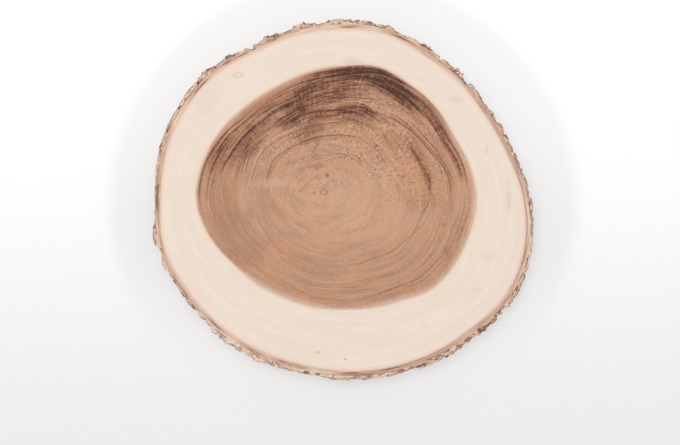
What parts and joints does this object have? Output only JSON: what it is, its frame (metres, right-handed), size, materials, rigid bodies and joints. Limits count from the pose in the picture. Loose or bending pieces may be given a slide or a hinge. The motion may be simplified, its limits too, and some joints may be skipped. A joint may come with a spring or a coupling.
{
  "type": "wood slice",
  "caption": "Round cross-cut slice of a tree trunk with its rough bark on, sawn flat on both faces, for use as a serving board, centrepiece base or craft blank.",
  "frame": {"origin": "middle of the slice's box on its lower sawn face, which lies on the surface", "axes": "+Z along the trunk, up from the lower sawn face to the upper one; +X along the widest way over the bark, to the right in the picture; +Y towards the top of the picture"},
  "size_m": [0.36, 0.3416, 0.025],
  "materials": {
    "wood": "fine-sawn and sanded end grain, matte, with a brown heartwood, cream sapwood and rough brown bark"
  },
  "bodies": {
    "root": {"wood_slice": "wood"}
  },
  "joints": []
}
